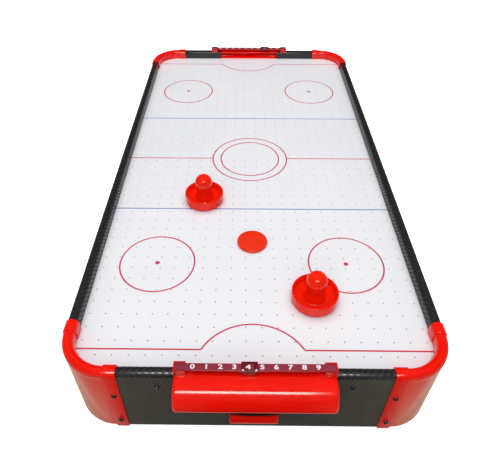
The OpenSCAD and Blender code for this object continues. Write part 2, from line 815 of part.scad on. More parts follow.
playfield();
bottom_panel();
side_panel_left();
side_panel_right();
end_panel_near();
end_panel_far();
side_rail_left();
side_rail_right();
end_rail_near_left();
end_rail_near_right();
end_rail_far_left();
end_rail_far_right();
corner_near_left();
corner_near_right();
corner_far_left();
corner_far_right();
goal_hood_near();
goal_hood_far();
puck_tray_near();
puck_tray_far();
bar_clips_near();
bar_clips_far();
score_bar_near();
score_bar_far();
score_marker_near();
score_marker_far();
field_cleats();
bottom_cleats();
field_ribs();
fan_housing();
fan_motor();
fan_shaft();
fan_impeller();
fan_grille();
power_inlet();
inlet_pin();
switch_housing();
switch_rocker();
wire_harness();
rubber_feet();
corner_screws();
end_panel_screws();
side_panel_screws();
bottom_screws();
hood_screws();
fan_screws();
mallet_left();
mallet_left_felt();
mallet_right();
mallet_right_felt();
puck();
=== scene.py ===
"""Looks of a tabletop air hockey table: meshes, materials, light and camera around its CAD frame."""
import json
import math

import bmesh
import bpy
from mathutils import Matrix, Vector


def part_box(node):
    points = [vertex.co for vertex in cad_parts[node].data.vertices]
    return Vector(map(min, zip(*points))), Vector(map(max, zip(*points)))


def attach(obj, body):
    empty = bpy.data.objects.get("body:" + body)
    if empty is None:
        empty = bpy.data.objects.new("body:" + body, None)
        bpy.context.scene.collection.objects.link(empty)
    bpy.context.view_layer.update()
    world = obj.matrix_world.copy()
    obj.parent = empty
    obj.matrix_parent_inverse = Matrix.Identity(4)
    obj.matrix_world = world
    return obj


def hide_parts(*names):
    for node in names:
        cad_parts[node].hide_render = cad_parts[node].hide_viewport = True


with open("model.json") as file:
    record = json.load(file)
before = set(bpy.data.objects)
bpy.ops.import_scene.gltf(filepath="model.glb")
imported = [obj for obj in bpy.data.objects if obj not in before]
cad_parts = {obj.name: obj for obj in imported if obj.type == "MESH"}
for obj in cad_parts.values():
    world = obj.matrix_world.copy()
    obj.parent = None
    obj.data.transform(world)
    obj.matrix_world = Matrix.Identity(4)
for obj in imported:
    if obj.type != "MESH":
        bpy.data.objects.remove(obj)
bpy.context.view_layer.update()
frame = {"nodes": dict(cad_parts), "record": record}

MM = 0.001
TOP_POWER = 40                                    # watts of the lamp over the table
FRONT_POWER = 9                                   # watts of the lamp beyond the near end
SOFTBOX_POWER = 31                                # watts of the lamp that glossy surfaces show
ROOM_FILL = 0.52                                  # strength of the room on matt surfaces
BACKDROP = 1.3                                    # strength of the room behind the table
ROOM_TINT = (1.0, 0.93, 0.72)                     # colour of the room in glossy surfaces

# ---------------------------------------------------------------- sizes taken from the frame
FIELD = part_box("playfield")[1].z                  # height of the playing surface
XO = -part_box("side_panel_left")[0].x              # outer face of a side panel
YO = -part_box("end_panel_near")[0].y               # outer face of an end panel
XI = -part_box("side_rail_left")[1].x               # inner face of a side rail
YI = -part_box("end_rail_near_left")[1].y           # inner face of an end rail
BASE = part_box("end_panel_near")[0].z - FIELD      # underside of the cabinet
RAIL_W = XO - XI
RAIL_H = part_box("side_rail_left")[1].z - FIELD
DOME_R = RAIL_W / 2
DOME_V = RAIL_H - DOME_R
PANEL_V = DOME_V - 0.25 * MM                      # top edge of a panel
PANEL_T = 12 * MM
COLLAR_T = -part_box("corner_near_left")[0].x - XO  # how far a collar stands proud
TAB = 3 * MM                                      # how far a skirt reaches under its flap
CORNER_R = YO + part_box("side_panel_left")[0].y - TAB
COLLAR_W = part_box("corner_near_left")[1].x + XO - CORNER_R
STUB = 1.5 * MM                                   # how far an elbow reaches into its collars
LIP_T = 2.5 * MM
SKIRT_T = 3 * MM
SEAT = 0.1 * MM
MOUTH = -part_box("end_rail_near_left")[1].x        # half the width of the goal mouth
HOOD_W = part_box("goal_hood_near")[1].x
HOOD_OUT = -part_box("goal_hood_near")[0].y - YO
HOOD_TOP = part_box("goal_hood_near")[1].z - FIELD
HOOD_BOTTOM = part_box("goal_hood_near")[0].z - FIELD
HOOD_WALL = 2.5 * MM
TRAY_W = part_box("puck_tray_near")[1].x
TRAY_OUT = -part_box("puck_tray_near")[0].y - YO
TRAY_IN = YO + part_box("puck_tray_near")[1].y
TRAY_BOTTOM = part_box("puck_tray_near")[0].z - FIELD
TRAY_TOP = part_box("puck_tray_near")[1].z - FIELD
BAR_U = (-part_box("score_bar_near")[1].y - YI, -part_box("score_bar_near")[0].y - YI)
BAR_V = (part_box("score_bar_near")[0].z - FIELD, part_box("score_bar_near")[1].z - FIELD)
BAR_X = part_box("score_bar_near")[1].x
CLIP_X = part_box("bar_clips_near")[1].x
CLIP_U = (-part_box("bar_clips_near")[1].y - YI, -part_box("bar_clips_near")[0].y - YI)
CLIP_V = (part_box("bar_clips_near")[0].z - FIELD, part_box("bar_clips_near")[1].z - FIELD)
CLIP_W = 15.5 * MM
PITCH = 22.6 * MM                                 # spacing of the air holes
PRINT_SHIFT = (1.8 * MM, 1.0 * MM)                # how far the rink print sits off centre
SCORE_PITCH = 17.6 * MM
STRIP_T = 1.8 * MM                                # thickness of the score strip
STRIP_U = (BAR_U[0], BAR_U[1] - 1.7 * MM)
TRAY_RIM = -47 * MM                               # top of the tray's front block
SLOT_OUT = 11 * MM                                # outer edge of the slot in the hood's floor
SLOT_EDGE = HOOD_BOTTOM + 3 * MM                  # height of that floor at the slot
FLOOR_HIGH = HOOD_BOTTOM + 10 * MM                # and where it meets the hood's walls
PANEL_TOW = 1.58 * MM                             # width of a tow on the panels
RAIL_TOW = 2.15 * MM                              # and on the rails

KEEP = Matrix.Identity(4)
MIRROR_X = Matrix.Diagonal((-1, 1, 1, 1))
MIRROR_Y = Matrix.Diagonal((1, -1, 1, 1))
TURNED = Matrix.Rotation(math.pi, 4, "Z")
CORNERS = {"near_left": KEEP, "near_right": MIRROR_X, "far_left": MIRROR_Y, "far_right": TURNED}
ENDS = {"near": KEEP, "far": TURNED}


# ---------------------------------------------------------------- points and outlines
def near(x, u, v):
    """A point of the near end: across the table, outward from the rail's inner face, above the field."""
    return Vector((x, -YI - u, FIELD + v))


def left(y, u, v):
    """The same on the left side, where the first number runs along the table."""
    return Vector((-XI - u, y, FIELD + v))


def face(x, u, v):
    """A point of the near end whose outward distance counts from the end panel's face."""
    return near(x, u + RAIL_W, v)


def arc(cx, cy, r, start, stop, steps):
    """Points round a centre, from one angle to another in degrees."""
    angles = [math.radians(start + (stop - start) * k / steps) for k in range(steps + 1)]
    return [(cx + r * math.cos(a), cy + r * math.sin(a)) for a in angles]


def inset_outline(corners, depth):
    """A closed outline moved inward by depth; the corners run anticlockwise."""
    count = len(corners)
    lines = []
    for i in range(count):
        a = Vector(corners[i])
        b = Vector(corners[(i + 1) % count])
        inward = Vector((a.y - b.y, b.x - a.x)).normalized()
        lines.append((a + inward * depth, (b - a).normalized()))
    moved = []
    for i in range(count):
        (p, d), (q, e) = lines[i - 1], lines[i]
        turn = d.x * e.y - d.y * e.x
        if abs(turn) < 1e-9:
            moved.append(q)
        else:
            gap = q - p
            moved.append(p + d * ((gap.x * e.y - gap.y * e.x) / turn))
    return moved


def fillet(corners, radius, steps=4):
    """A closed outline with its corners rounded off."""
    count = len(corners)
    out = []
    for i in range(count):
        here = Vector(corners[i])
        back = Vector(corners[i - 1]) - here
        ahead = Vector(corners[(i + 1) % count]) - here
        half = back.angle(ahead) / 2
        reach = min(radius / math.tan(half), 0.48 * back.length, 0.48 * ahead.length)
        a = here + back.normalized() * reach
        b = here + ahead.normalized() * reach
        for k in range(steps + 1):
            t = k / steps
            out.append(tuple(a * (1 - t) ** 2 + here * 2 * t * (1 - t) + b * t ** 2))
    return out


def quarter(radius, steps=4):
    """Distance from an end and inset there, for an end edge rounded by radius."""
    angles = [math.pi / 2 * k / steps for k in range(steps + 1)]
    return [(radius * (1 - math.cos(a)), radius * (1 - math.sin(a))) for a in angles]


# ---------------------------------------------------------------- meshes
def loft(rings, capped=True):
    """Points and faces of a skin over closed rings, with a flat cap on each end."""
    count = len(rings[0])
    points = [p for ring in rings for p in ring]
    faces = []
    for i in range(len(rings) - 1):
        for k in range(count):
            j = (k + 1) % count
            faces.append((i * count + k, i * count + j, (i + 1) * count + j, (i + 1) * count + k))
    if capped:
        faces.append(tuple(reversed(range(count))))
        faces.append(tuple(range((len(rings) - 1) * count, len(rings) * count)))
    return points, faces


def build(name, skin, place=KEEP):
    """A mesh object from points and faces, welded and with its normals outward."""
    points, faces = skin
    mesh = bpy.data.meshes.new(name)
    mesh.from_pydata([place @ Vector(p) for p in points], [], faces)
    work = bmesh.new()
    work.from_mesh(mesh)
    bmesh.ops.remove_doubles(work, verts=work.verts, dist=2e-6)
    bmesh.ops.recalc_face_normals(work, faces=work.faces)
    work.to_mesh(mesh)
    work.free()
    made = bpy.data.objects.new(name, mesh)
    bpy.context.scene.collection.objects.link(made)
    return made


def prism(corners, x0, x1, along=near, radius=0.4 * MM, edge=0.4 * MM):
    """A bar of one outline with rounded corners and rounded end edges."""
    stops = [(x0 + d, inset) for d, inset in quarter(edge)]
    stops += [(x1 - d, inset) for d, inset in reversed(quarter(edge))]
    rings = []
    for x, inset in stops:
        outline = fillet(inset_outline(corners, inset), max(radius - inset, 0.05 * MM))
        rings.append([along(x, u, v) for u, v in outline])
    return loft(rings)


def rectangle(u0, u1, v0, v1):
    return [(u0, v0), (u1, v0), (u1, v1), (u0, v1)]


def lathe(profile, at=(0, 0, 0), segments=96):
    """A skin turned from points of radius and height."""
    rings = []
    for r, z in profile:
        circle = arc(0, 0, r, 0, 360 - 360 / segments, segments - 1)
        rings.append([Vector(p + (z,)) + Vector(at) for p in circle])
    return loft(rings, capped=False)


def freeze(made):
    """Applies an object's modifiers to its mesh."""
    graph = bpy.context.evaluated_depsgraph_get()
    made.data = bpy.data.meshes.new_from_object(made.evaluated_get(graph))
    made.modifiers.clear()


def combine(base, other, operation):
    """Cuts the other solid from base, or adds it, and removes it."""
    step = base.modifiers.new("combine", "BOOLEAN")
    step.operation = operation
    step.solver = "EXACT"
    step.object = other
    freeze(base)
    bpy.data.objects.remove(other)


def gather(name, parts, places=(KEEP,)):
    """One object that holds a copy of each part at each place; the parts are removed."""
    work = bmesh.new()
    for place in places:
        for part in parts:
            mesh = part.data.copy()
            mesh.transform(place)
            if place.determinant() < 0:
                mesh.flip_normals()
            work.from_mesh(mesh)
    mesh = bpy.data.meshes.new(name)
    work.to_mesh(mesh)
    work.free()
    for part in parts:
        bpy.data.objects.remove(part)
    made = bpy.data.objects.new(name, mesh)
    bpy.context.scene.collection.objects.link(made)
    return made


def body_of(node):
    """The body that carries a CAD node."""
    bodies = frame["record"]["behaviour"]["bodies"]
    return next(body for body, nodes in bodies.items() if node in nodes)


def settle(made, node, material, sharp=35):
    """Smooths a piece, gives it its material and lets it stand for a CAD node."""
    made.data.shade_smooth()
    made.data.set_sharp_from_angle(angle=math.radians(sharp))
    made.data.materials.clear()
    made.data.materials.append(material)
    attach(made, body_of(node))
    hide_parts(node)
    return made


# ---------------------------------------------------------------- shader nodes
class Shader:
    """A material's node tree, with short calls for the nodes used here."""

    def __init__(self, name):
        self.material = bpy.data.materials.new(name)
        self.material.use_nodes = True
        self.tree = self.material.node_tree
        self.surface = self.tree.nodes["Principled BSDF"]

    def feed(self, socket, value):
        if isinstance(value, bpy.types.NodeSocket):
            self.tree.links.new(value, socket)
        else:
            socket.default_value = value

    def node(self, kind, inputs, **settings):
        made = self.tree.nodes.new("ShaderNode" + kind)
        for key, value in settings.items():
            setattr(made, key, value)
        for key, value in inputs.items():
            self.feed(made.inputs[key], value)
        return made

    def math(self, operation, *values):
        return self.node("Math", dict(enumerate(values)), operation=operation).outputs[0]

    def coordinates(self):
        return self.node("TexCoord", {}).outputs["Object"]

    def attribute(self, name):
        return self.node("Attribute", {}, attribute_name=name).outputs["Vector"]

    def split(self, vector):
        return self.node("SeparateXYZ", {0: vector}).outputs

    def join(self, x, y, z):
        return self.node("CombineXYZ", {0: x, 1: y, 2: z}).outputs[0]

    def noise(self, scale, detail=2, vector=None):
        inputs = {"Vector": vector or self.coordinates(), "Scale": scale, "Detail": detail}
        return self.node("TexNoise", inputs).outputs[0]

    def ranged(self, value, low, high, to_low, to_high, smooth=False):
        kind = "SMOOTHSTEP" if smooth else "LINEAR"
        inputs = {0: value, 1: low, 2: high, 3: to_low, 4: to_high}
        return self.node("MapRange", inputs, interpolation_type=kind).outputs[0]

    def mix(self, factor, a, b):
        return self.node("Mix", {0: factor, 6: a, 7: b}, data_type="RGBA").outputs[2]

    def bump(self, height, depth, strength=1.0):
        inputs = {"Height": height, "Distance": depth, "Strength": strength}
        return self.node("Bump", inputs).outputs[0]

    def finish(self, **sockets):
        for name, value in sockets.items():
            self.feed(self.surface.inputs[name.replace("_", " ")], value)
        return self.material


def colour(r, g, b):
    return (r, g, b, 1.0)


def plastic(s, light, dark, rough):
    """Colour, roughness and normal of moulded plastic: flow marks, light scuffs and orange peel."""
    flow = s.ranged(s.noise(9, 3), 0.35, 0.65, 0, 1)
    scuff = s.ranged(s.noise(160, 4), 0.45, 0.75, *rough)
    return s.mix(flow, light, dark), scuff, s.bump(s.noise(900, 2), 0.008 * MM)


def moulding(name, light, dark, rough=(0.12, 0.20), specular=0.5):
    """Moulded plastic of one colour."""
    s = Shader(name)
    tone, scuff, peel = plastic(s, light, dark, rough)
    return s.finish(Base_Color=tone, Roughness=scuff, Normal=peel, Specular_IOR_Level=specular)


def hood_moulding():
    """The hood's plastic, with a faint glow in the goal that stands for light through the wall."""
    s = Shader("red_hood")
    tone, scuff, peel = plastic(s, RED_LIGHT, RED_DARK, (0.12, 0.20))
    x, y, z = s.split(s.coordinates())
    out = s.math("ABSOLUTE", y)
    below_top = s.math("LESS_THAN", z, FIELD + HOOD_TOP - HOOD_WALL)
    behind_front = s.math("LESS_THAN", out, YO + HOOD_WALL + 0.1 * MM)
    in_mouth = s.math("LESS_THAN", s.math("ABSOLUTE", x), MOUTH)
    inside = s.math("MULTIPLY", below_top, behind_front)
    glow = s.math("MULTIPLY", inside, s.math("MULTIPLY", in_mouth, 0.34))
    return s.finish(Base_Color=tone, Roughness=scuff, Normal=peel,
                    Emission_Color=colour(0.9, 0.003, 0.0), Emission_Strength=glow)


def tray_moulding():
    """The tray's plastic, with painted shade: drawn dark and dull inside the pocket so that the opening
    reads black.
    """
    s = Shader("red_tray")
    red, scuff, peel = plastic(s, RED_LIGHT, RED_DARK, (0.18, 0.28))
    x, y, z = s.split(s.coordinates())
    # painted shade: mask of the pocket's inside, behind the face, between the walls and above the floor
    behind = s.math("LESS_THAN", s.math("ABSOLUTE", y), YO + TRAY_OUT - 1.5 * MM)
    between = s.math("LESS_THAN", s.math("ABSOLUTE", x), TRAY_W - 0.5 * MM)
    above = s.math("GREATER_THAN", z, FIELD + TRAY_BOTTOM + 1.5 * MM)
    inside = s.math("MULTIPLY", behind, s.math("MULTIPLY", between, above))
    unshaded = s.math("SUBTRACT", 1.0, inside)
    # painted shade: near-black colour inside the pocket, the plain red elsewhere
    tone = s.mix(unshaded, colour(0.02, 0.0003, 0.0002), red)
    rough = s.math("MAXIMUM", scuff, s.ranged(unshaded, 0, 1, 0.8, 0))
    return s.finish(Base_Color=tone, Roughness=rough, Normal=peel, Specular_IOR_Level=0.35)


def weave(s, across, up, tow):
    """Twill of two tows over two: which tow lies on top, and how high it is there."""
    column = s.math("FLOOR", s.math("DIVIDE", across, tow))
    row = s.math("FLOOR", s.math("DIVIDE", up, tow))
    step = s.math("FLOORED_MODULO", s.math("SUBTRACT", column, row), 4.0)
    over = s.math("LESS_THAN", step, 1.5)
    rise_across = s.math("PINGPONG", s.math("DIVIDE", across, tow), 0.5)
    rise_up = s.math("PINGPONG", s.math("DIVIDE", up, tow), 0.5)
    upper = s.math("MULTIPLY", over, rise_across)
    lower = s.math("MULTIPLY", s.math("SUBTRACT", 1.0, over), rise_up)
    return over, s.math("ADD", upper, lower)


def carbon(name, across, dark, light, rough, tow, contrast=1.0):
    """Carbon-look film; across is X, Y or the weave laid out on the mesh.

    Contrast is how much rougher the lower tows are than the upper ones.
    """
    s = Shader(name)
    if across == "weave":
        x, y, _ = s.split(s.attribute("weave"))
    else:
        axes = s.split(s.coordinates())
        x, y = axes["XY".index(across)], axes[2]
    over, height = weave(s, x, y, tow)
    lit = s.ranged(height, 0.0, 0.5, 0.55, 1.0)
    phase = s.math("SUBTRACT", s.math("DIVIDE", s.math("SUBTRACT", x, y), tow), 1.0)
    band = s.ranged(s.math("PINGPONG", phase, 2.0), 0.4, 1.6, 1.0, 0.0, smooth=True)
    twill = s.math("MULTIPLY", s.ranged(over, 0, 1, 0.55, 1.0), band)
    patchy = s.ranged(s.noise(30, 3), 0.3, 0.7, 0.7, 1.0)
    tone = s.math("MULTIPLY", s.math("MULTIPLY", twill, lit), patchy)
    worn = s.ranged(s.noise(220, 3), 0.3, 0.7, rough[0], rough[1])
    gloss = s.math("MULTIPLY", worn, s.ranged(over, 0, 1, contrast, 1.0))
    return s.finish(Base_Color=s.mix(tone, dark, light), Roughness=gloss,
                    Normal=s.bump(height, 0.05 * MM, 0.4))


def length_of(s, dx, dy):
    """Length of a flat vector."""
    return s.math("SQRT", s.math("ADD", s.math("MULTIPLY", dx, dx), s.math("MULTIPLY", dy, dy)))


def ring_line(s, x, y, cx, cy, r):
    """Distance from a circle of radius r round a centre."""
    far_off = length_of(s, s.math("SUBTRACT", x, cx), s.math("SUBTRACT", y, cy))
    return s.math("ABSOLUTE", s.math("SUBTRACT", far_off, r))


def rink_lines(s):
    """Masks of the red and the blue print, from distances in hole pitches."""
    x, y, _ = s.split(s.coordinates())
    x = s.math("ABSOLUTE", s.math("DIVIDE", s.math("ADD", x, PRINT_SHIFT[0]), PITCH))
    y = s.math("ABSOLUTE", s.math("DIVIDE", s.math("ADD", y, PRINT_SHIFT[1]), PITCH))
    goal_y, goal_x, crease_y = 20.05, 3.12, 18.2
    spot_x, spot_y, spot_r, face_off_r = 6.68, 12.99, 0.11, 2.636
    centre_r, inner_r, blue_y, half = 3.334, 2.61, 7.075, 0.055
    depth = goal_y - crease_y
    crease_r = (goal_x ** 2 + depth ** 2) / (2 * depth)
    wide = 99.0                                         # pushes a line's hidden stretch out of reach
    goal = s.math("ADD", s.math("ABSOLUTE", s.math("SUBTRACT", y, goal_y)),
                  s.math("MULTIPLY", s.math("LESS_THAN", x, goal_x), wide))
    crease = s.math("ADD", ring_line(s, x, y, 0.0, crease_y + crease_r, crease_r),
                    s.math("MULTIPLY", s.math("GREATER_THAN", y, goal_y), wide))
    middle = s.math("ADD", y, s.math("MULTIPLY", s.math("LESS_THAN", x, centre_r), wide))
    spot = s.math("SUBTRACT", ring_line(s, x, y, spot_x, spot_y, 0.0), spot_r)
    reds = [goal, crease, middle, spot, ring_line(s, x, y, spot_x, spot_y, face_off_r),
            ring_line(s, x, y, 0.0, 0.0, centre_r), ring_line(s, x, y, 0.0, 0.0, inner_r)]
    red = reds[0]
    for other in reds[1:]:
        red = s.math("MINIMUM", red, other)
    blue = s.math("ABSOLUTE", s.math("SUBTRACT", y, blue_y))
    return [s.ranged(gap, half - 0.01, half + 0.01, 1.0, 0.0, smooth=True) for gap in (red, blue)]


def hole_edges(s):
    """Mask of a grey ring of painted shade round each air hole, slightly wider than the hole itself."""
    x, y, _ = s.split(s.coordinates())
    off = []
    for along in (x, y):
        off.append(s.math("SUBTRACT", s.math("FRACT", s.math("DIVIDE", along, PITCH)), 0.5))
    return s.ranged(length_of(s, *off), 0.040, 0.055, 1.0, 0.0, smooth=True)


def laminate():
    """White printed laminate of the rink, with its red and blue lines."""
    s = Shader("rink_laminate")
    red, blue = rink_lines(s)
    cloud = s.ranged(s.noise(6, 4), 0.3, 0.7, 0, 1)
    white = s.mix(cloud, colour(0.80, 0.81, 0.86), colour(0.84, 0.84, 0.87))
    printed = s.mix(blue, s.mix(red, white, colour(0.60, 0.02, 0.065)), colour(0.16, 0.24, 0.52))
    # painted shade: grey rings round the air holes
    printed = s.mix(hole_edges(s), printed, colour(0.40, 0.40, 0.42))
    gloss = s.ranged(s.noise(90, 4), 0.3, 0.7, 0.28, 0.4)
    return s.finish(Base_Color=printed, Roughness=gloss, Normal=s.bump(s.noise(700, 2), 0.004 * MM))


def grained(name, light, dark, stretch, rough, scale):
    """Wood or board: noise drawn out along one axis."""
    s = Shader(name)
    x, y, z = s.split(s.coordinates())
    drawn = s.join(s.math("MULTIPLY", x, stretch[0]), s.math("MULTIPLY", y, stretch[1]),
                   s.math("MULTIPLY", z, stretch[2]))
    fibre = s.noise(scale, 5, drawn)
    tone = s.mix(s.ranged(fibre, 0.35, 0.65, 0, 1), light, dark)
    return s.finish(Base_Color=tone, Roughness=s.ranged(fibre, 0.3, 0.7, rough[0], rough[1]),
                    Normal=s.bump(fibre, 0.05 * MM))


def metal(name, tone):
    """Brushed metal."""
    s = Shader(name)
    brushed = s.noise(400, 4)
    shade = s.mix(brushed, tone, colour(*[c * 0.8 for c in tone[:3]]))
    return s.finish(Base_Color=shade, Metallic=1.0, Roughness=s.ranged(brushed, 0.3, 0.7, 0.22, 0.4),
                    Normal=s.bump(brushed, 0.01 * MM))


def fibrous(name, light, dark):
    """Felt: short tangled fibres with no gloss."""
    s = Shader(name)
    fibre = s.noise(1500, 6)
    rough = s.ranged(fibre, 0.3, 0.7, 0.85, 1.0)
    return s.finish(Base_Color=s.mix(fibre, light, dark), Roughness=rough,
                    Normal=s.bump(fibre, 0.3 * MM), Sheen_Weight=0.3)


RED_LIGHT = colour(0.90, 0.0055, 0.0)
RED_DARK = colour(0.84, 0.0045, 0.0)
red_gloss = moulding("red_gloss", RED_LIGHT, RED_DARK)
red_hood = hood_moulding()
red_tray = tray_moulding()
red_clip = moulding("red_clip", colour(0.62, 0.012, 0.008), colour(0.55, 0.010, 0.007))
bar_maroon = moulding("bar_maroon", colour(0.29, 0.032, 0.052), colour(0.25, 0.028, 0.045))
marker_maroon = moulding("marker_maroon", colour(0.13, 0.010, 0.022), colour(0.11, 0.008, 0.018))
digit_white = moulding("digit_white", colour(0.86, 0.84, 0.86), colour(0.80, 0.78, 0.80), (0.4, 0.55))
mallet_red = moulding("mallet_red", colour(0.93, 0.016, 0.002), colour(0.87, 0.013, 0.002),
                      (0.10, 0.16), 0.28)
puck_red = moulding("puck_red", colour(0.88, 0.028, 0.001), colour(0.82, 0.025, 0.001),
                    (0.3, 0.45), 0.4)
switch_red = moulding("switch_red", colour(0.5, 0.01, 0.01), colour(0.42, 0.008, 0.008))
black_plastic = moulding("black_plastic", colour(0.012, 0.012, 0.013), colour(0.02, 0.02, 0.021),
                         (0.35, 0.5))
rubber = moulding("rubber", colour(0.012, 0.012, 0.012), colour(0.02, 0.02, 0.02), (0.7, 0.85))
screw_black = moulding("screw_black", colour(0.010, 0.010, 0.011), colour(0.02, 0.02, 0.021),
                       (0.25, 0.4))
PANEL_FILM = (colour(0.012, 0.012, 0.010), colour(0.150, 0.150, 0.127), (0.35, 0.45), PANEL_TOW)
panel_end = carbon("carbon_panel_end", "X", *PANEL_FILM)
panel_side = carbon("carbon_panel_side", "Y", *PANEL_FILM)
rail_film = carbon("carbon_rail", "weave", colour(0.008, 0.008, 0.010), colour(0.030, 0.030, 0.034),
                   (0.20, 0.28), RAIL_TOW, 2.2)
rink = laminate()
timber = grained("timber", colour(0.50, 0.33, 0.18), colour(0.38, 0.23, 0.12),
                 (8, 0.6, 8), (0.6, 0.8), 60)
hardboard = grained("hardboard", colour(0.16, 0.10, 0.06), colour(0.10, 0.065, 0.04),
                    (1, 1, 1), (0.55, 0.75), 300)
steel = metal("steel", colour(0.62, 0.62, 0.64))
felt_white = fibrous("felt_white", colour(0.75, 0.74, 0.72), colour(0.6, 0.59, 0.57))


# ---------------------------------------------------------------- corner mouldings
def corner_section(proud, skirt_proud, dome_open, skirt_open):
    """Closed section of a corner moulding; an open part leaves room for the rail or the panel."""
    edge = 0.6 * MM
    skirt = RAIL_W + skirt_proud
    dome = RAIL_W + proud
    outside = [(skirt - edge, BASE), (skirt - 0.3 * edge, BASE + 0.3 * edge), (skirt, BASE + edge)]
    low, high = DOME_V - 6 * MM, DOME_V - 1.5 * MM
    for k in range(7):
        t = k / 6
        ease = t * t * (3 - 2 * t)
        outside.append((skirt + (dome - skirt) * ease, low + (high - low) * t))
    outside += arc(DOME_R, DOME_V, DOME_R + proud, 0, 180, 32)
    outside += [(-proud, 0.3 * MM), (0.3 * MM - proud, 0)]
    rail_side = -SEAT if dome_open else LIP_T
    hollow = DOME_R + SEAT if dome_open else DOME_R - SKIRT_T
    panel_side_u = RAIL_W if skirt_open else RAIL_W - SKIRT_T
    inside = [(rail_side, 0), (rail_side, DOME_V - 0.05 * MM)]
    inside += arc(DOME_R, DOME_V, hollow, 180, 0, 16)
    inside += [(panel_side_u, DOME_V - 0.3 * MM), (panel_side_u, BASE)]
    return outside + inside


def collar_stops(edge=0.7 * MM):
    """Stations of a collar from its free end to the elbow: distance and section."""
    tiny = 0.05 * MM
    free = [(COLLAR_W - d, COLLAR_T - inset, True, True) for d, inset in quarter(edge)]
    steps = [(TAB + tiny, COLLAR_T, True, True), (TAB, COLLAR_T, True, False),
             (STUB + tiny, COLLAR_T, True, False), (STUB, COLLAR_T, False, False)]
    butt = [(d, COLLAR_T - inset, False, False) for d, inset in reversed(quarter(1.2 * MM, 6))]
    return [(d, corner_section(proud, proud, dome_open, skirt_open))
            for d, proud, dome_open, skirt_open in free + steps + butt]


def corner(name, place):
    """One corner moulding: a quarter turn of elbow with a collar on each rail."""
    collar = collar_stops()
    elbow = corner_section(0.75 * MM, 0.0, False, False)
    y0, x0 = -(YO - CORNER_R), -(XO - CORNER_R)
    rings = [[left(y0 + d, u, v) for u, v in section] for d, section in collar]
    turns = 40
    for k in range(turns + 1):
        a = math.radians(180 + 90 * k / turns)
        ring = []
        for u, v in elbow:
            r = CORNER_R - RAIL_W + u
            ring.append(Vector((x0 + r * math.cos(a), y0 + r * math.sin(a), FIELD + v)))
        rings.append(ring)
    rings += [[near(x0 + d, u, v) for u, v in section] for d, section in reversed(collar)]
    made = build(f"corner_{name}_moulding", loft(rings), place)
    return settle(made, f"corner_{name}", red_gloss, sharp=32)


# ---------------------------------------------------------------- rails
def rail_outline():
    """Section of a rail: a domed top, a lip over the rink and a tongue into the panel."""
    tongue_u = (7 * MM, 10 * MM)
    tongue_v = PANEL_V - 8 * MM
    dome = arc(DOME_R, DOME_V, DOME_R, 0, 180, 40)
    foot = [(0, 0.3 * MM), (0.3 * MM, 0), (LIP_T, 0), (LIP_T, PANEL_V)]
    tongue = [(tongue_u[0], PANEL_V), (tongue_u[0], tongue_v), (tongue_u[1], tongue_v),
              (tongue_u[1], PANEL_V)]
    return dome + foot + tongue + [(RAIL_W - 0.01 * MM, PANEL_V)]


def lay_weave(made, along_side):
    """Stores on each vertex how far it lies along the rail and round it."""
    layer = made.data.attributes.new("weave", "FLOAT_VECTOR", "POINT")
    for vertex, entry in zip(made.data.vertices, layer.data):
        x, y, z = vertex.co
        u = abs(x) - XI if along_side else abs(y) - YI
        v = z - FIELD
        if v >= DOME_V:
            round_it = DOME_R * math.atan2(v - DOME_V, u - DOME_R)
        elif u > DOME_R:
            round_it = v - DOME_V
        else:
            round_it = DOME_R * math.pi + DOME_V - v
        entry.vector = (y if along_side else x, round_it, 0)


def rail(node, along, start, stop, place=KEEP):
    """One bumper rail between two stations."""
    edge = 0.3 * MM
    middle = Vector((DOME_R, DOME_V / 2))
    rings = []
    stops = [(start + d, inset) for d, inset in quarter(edge, 2)]
    stops += [(stop - d, inset) for d, inset in reversed(quarter(edge, 2))]
    for x, inset in stops:
        size = 1 - inset / RAIL_W
        outline = [middle + (Vector(p) - middle) * size for p in rail_outline()]
        rings.append([along(x, u, v) for u, v in outline])
    made = build(f"{node}_film", loft(rings), place)
    lay_weave(made, along is left)
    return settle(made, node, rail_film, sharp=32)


def rails():
    reach = YO - CORNER_R - STUB - SEAT
    rail("side_rail_left", left, -reach, reach)
    rail("side_rail_right", left, -reach, reach, MIRROR_X)
    for name, place in CORNERS.items():
        rail(f"end_rail_{name}", near, -(XO - CORNER_R - STUB - SEAT), -MOUTH, place)


# ---------------------------------------------------------------- goal hoods and trays
HOOD_FLAT = 11.5 * MM
HOOD_RADII = (17 * MM, 38 * MM, 14 * MM)
HOOD_TURNS = (90, 50, 22, -90)


def hood_centres():
    """Centres of the three arcs of the hood's front, each tangent to the one before."""
    centres = [Vector((HOOD_FLAT, HOOD_TOP - HOOD_RADII[0]))]
    for k in (0, 1):
        a = math.radians(HOOD_TURNS[k + 1])
        ray = Vector((math.cos(a), math.sin(a)))
        centres.append(centres[k] + ray * (HOOD_RADII[k] - HOOD_RADII[k + 1]))
    return centres


def hood_outline(inset, back=0.0):
    """Section of the hood from its top round the front to its underside."""
    points = [(-back, HOOD_BOTTOM + inset), (-back, HOOD_TOP - inset)]
    for k, centre in enumerate(hood_centres()):
        points += arc(*centre, HOOD_RADII[k] - inset, HOOD_TURNS[k], HOOD_TURNS[k + 1], 14)
    return points


def hood_solid(name, half, inset, edge, back=0.0):
    """A solid of the hood's section with rounded ends."""
    rings = []
    stops = [(d - half, extra) for d, extra in quarter(edge, 7)]
    stops += [(half - d, extra) for d, extra in reversed(quarter(edge, 7))]
    for x, extra in stops:
        rings.append([face(x, u, v) for u, v in hood_outline(inset + extra, back)])
    return build(name, loft(rings))


def ramp(place):
    """Sloped floor beside the slot, which rolls the puck to the middle."""
    section = [(TRAY_W, HOOD_BOTTOM), (HOOD_W, HOOD_BOTTOM), (HOOD_W, FLOOR_HIGH), (TRAY_W, SLOT_EDGE)]
    rings = [[face(x, u, v) for x, v in section] for u in (0, HOOD_OUT)]
    return build("ramp", loft(rings), place)


